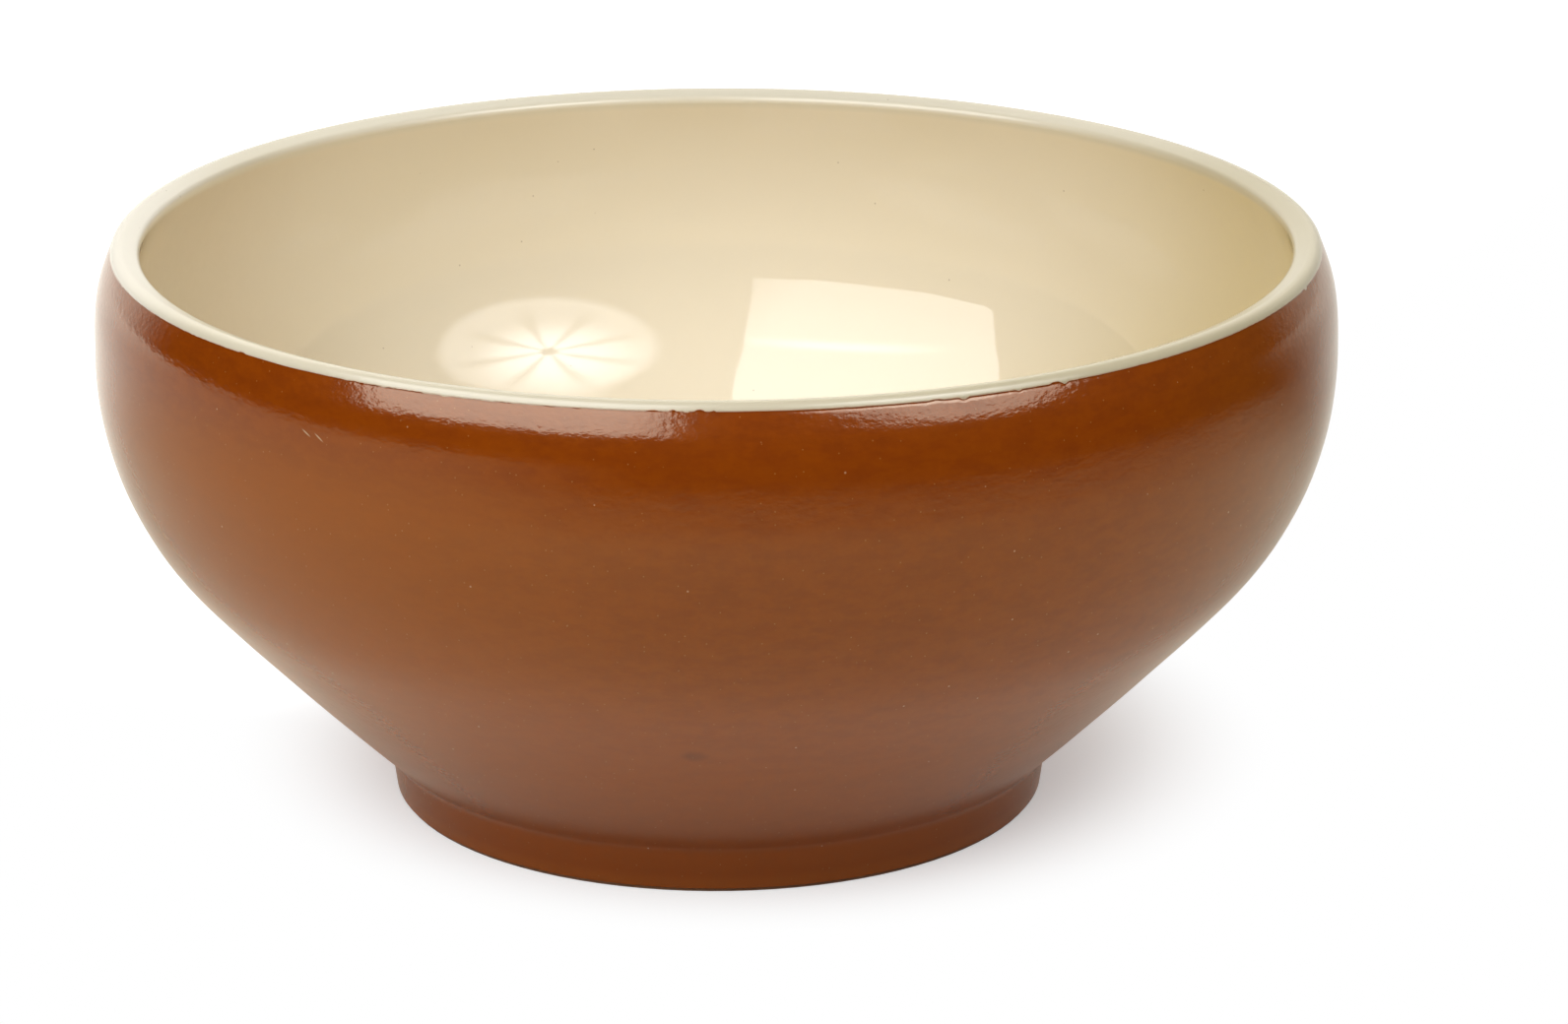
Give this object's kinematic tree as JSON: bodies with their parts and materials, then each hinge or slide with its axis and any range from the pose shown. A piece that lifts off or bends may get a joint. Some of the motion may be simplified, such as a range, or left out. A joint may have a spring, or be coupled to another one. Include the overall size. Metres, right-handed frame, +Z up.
{
  "type": "bowl",
  "caption": "Stoneware bowl for serving food, with a full belly that leans in to the rim, straight flanks, a turned foot ring, a cream glaze inside and a brown glaze outside.",
  "frame": {"origin": "centre of the foot ring, in the plane where it touches the table", "axes": "+Z up along the axis the bowl was turned on, from the foot to the rim; X and Y are level and alike"},
  "size_m": [0.22, 0.22, 0.1028],
  "materials": {
    "bare_stoneware": "matte",
    "cream_glaze": "glossy",
    "brown_glaze": "satin"
  },
  "bodies": {
    "root": {"stoneware_body": "bare_stoneware", "liner_glaze": "cream_glaze", "outer_glaze": "brown_glaze", "foot_well_glaze": "brown_glaze"}
  },
  "joints": []
}
